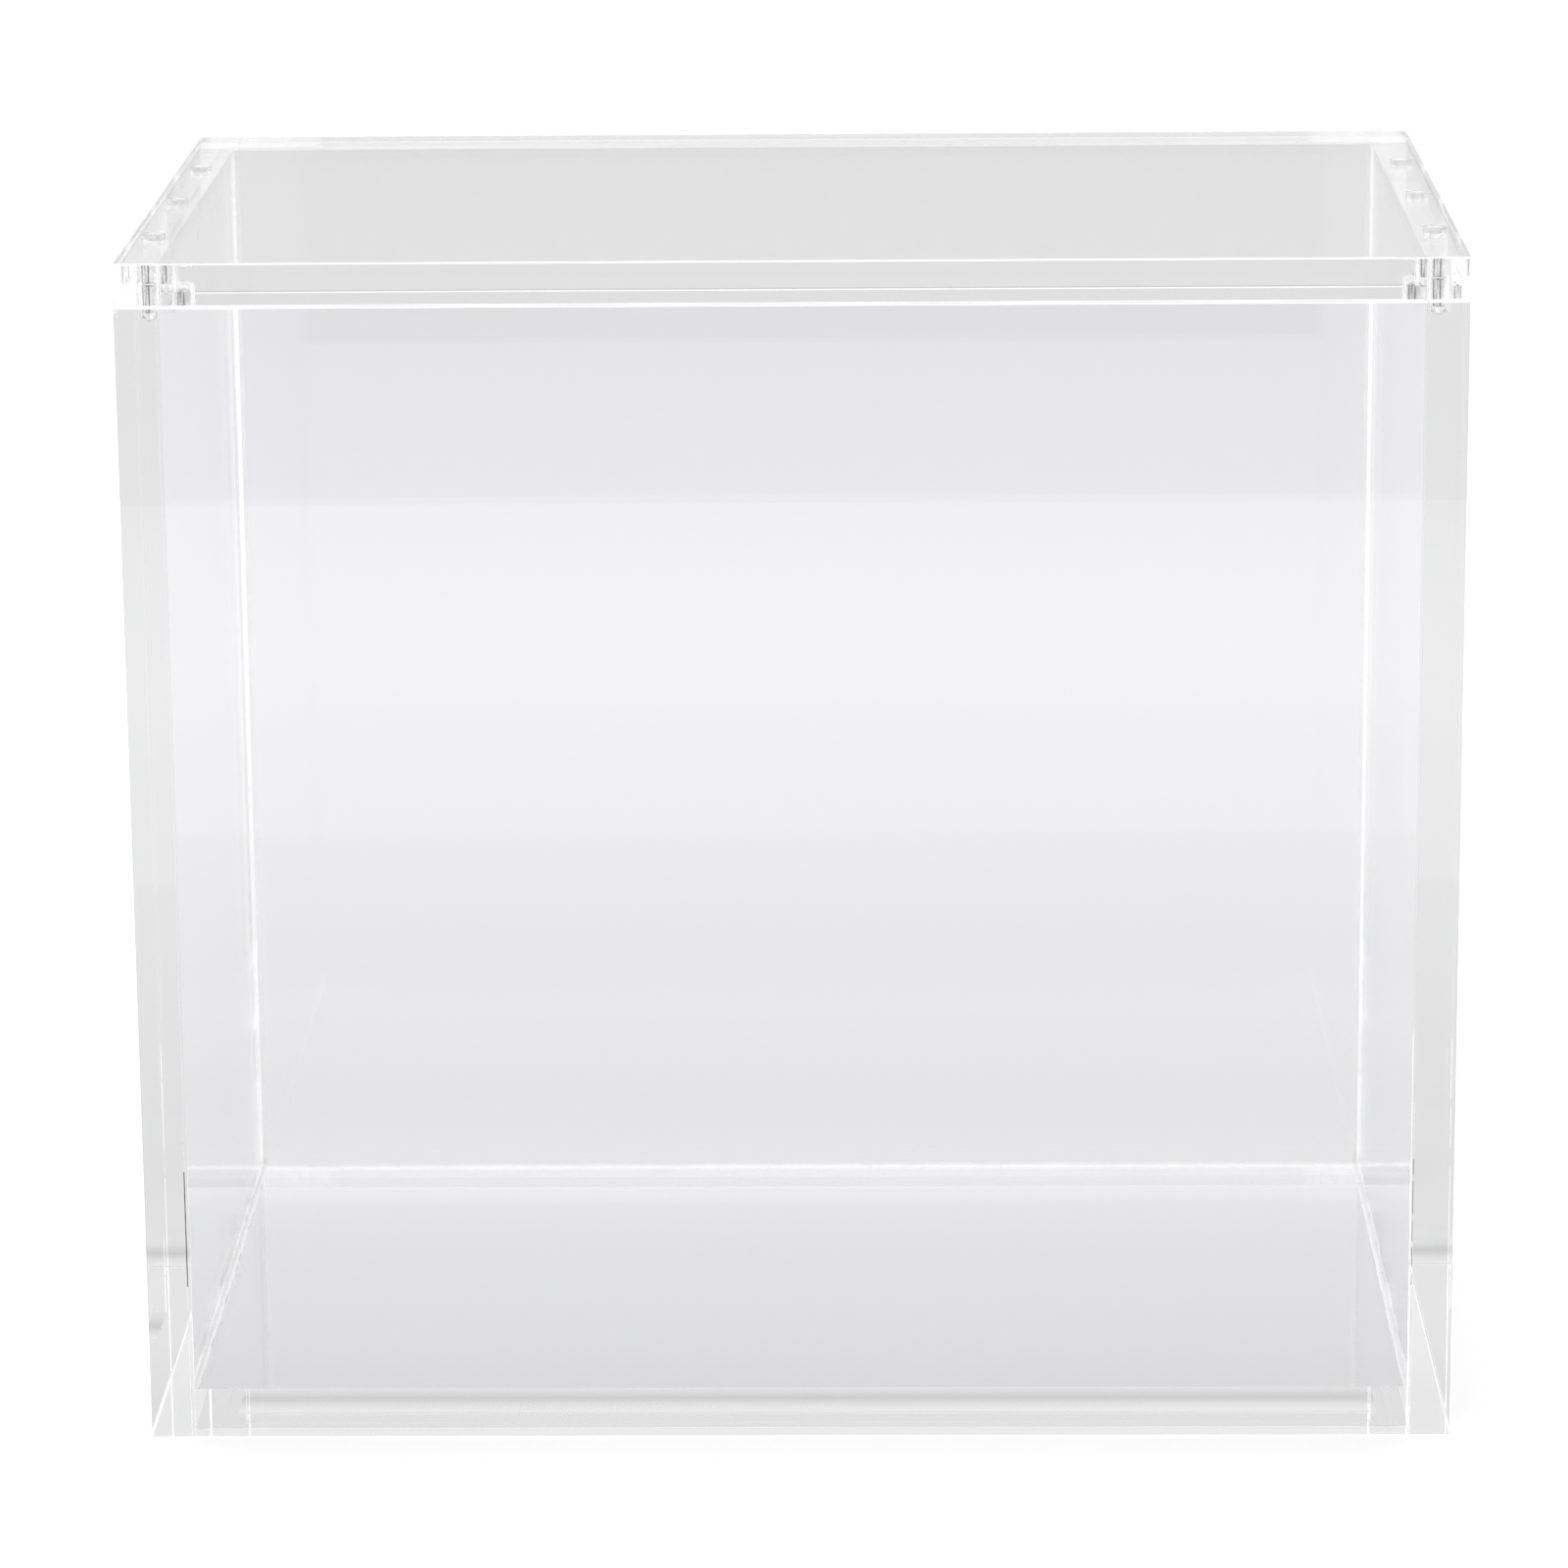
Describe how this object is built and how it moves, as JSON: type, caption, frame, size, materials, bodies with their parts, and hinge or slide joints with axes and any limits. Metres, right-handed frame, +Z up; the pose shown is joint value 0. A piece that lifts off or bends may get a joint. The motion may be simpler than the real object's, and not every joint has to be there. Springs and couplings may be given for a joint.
{
  "type": "display case",
  "caption": "Clear acrylic box case with a flat lift-off lid held by small magnets along the side walls.",
  "frame": {"origin": "middle of the underside, on the surface that the case stands on", "axes": "+Z up, +X along the width to the right of the front, front panel faces -Y"},
  "size_m": [0.155, 0.096, 0.1418],
  "materials": {
    "side_acrylic": "clear cast acrylic, polished faces and edges",
    "panel_acrylic": "clear cast acrylic, polished faces and edges",
    "base_acrylic": "clear cast acrylic, polished faces and edges",
    "lid_acrylic": "clear cast acrylic, polished faces and edges",
    "magnet_nickel": "bright nickel plating"
  },
  "bodies": {
    "case": {"left_wall": "side_acrylic", "right_wall": "side_acrylic", "front_panel": "panel_acrylic", "back_panel": "panel_acrylic", "base_panel": "base_acrylic", "wall_magnet_left_1": "magnet_nickel", "wall_magnet_left_2": "magnet_nickel", "wall_magnet_left_3": "magnet_nickel", "wall_magnet_right_1": "magnet_nickel", "wall_magnet_right_2": "magnet_nickel", "wall_magnet_right_3": "magnet_nickel"},
    "lid": {"lid": "lid_acrylic", "lid_magnet_left_1": "magnet_nickel", "lid_magnet_left_2": "magnet_nickel", "lid_magnet_left_3": "magnet_nickel", "lid_magnet_right_1": "magnet_nickel", "lid_magnet_right_2": "magnet_nickel", "lid_magnet_right_3": "magnet_nickel"}
  },
  "joints": [
    {"name": "lid_lift", "type": "slide", "parent": "case", "child": "lid", "axis": [0, 0, 1], "range_m": [0, 0.15]}
  ]
}
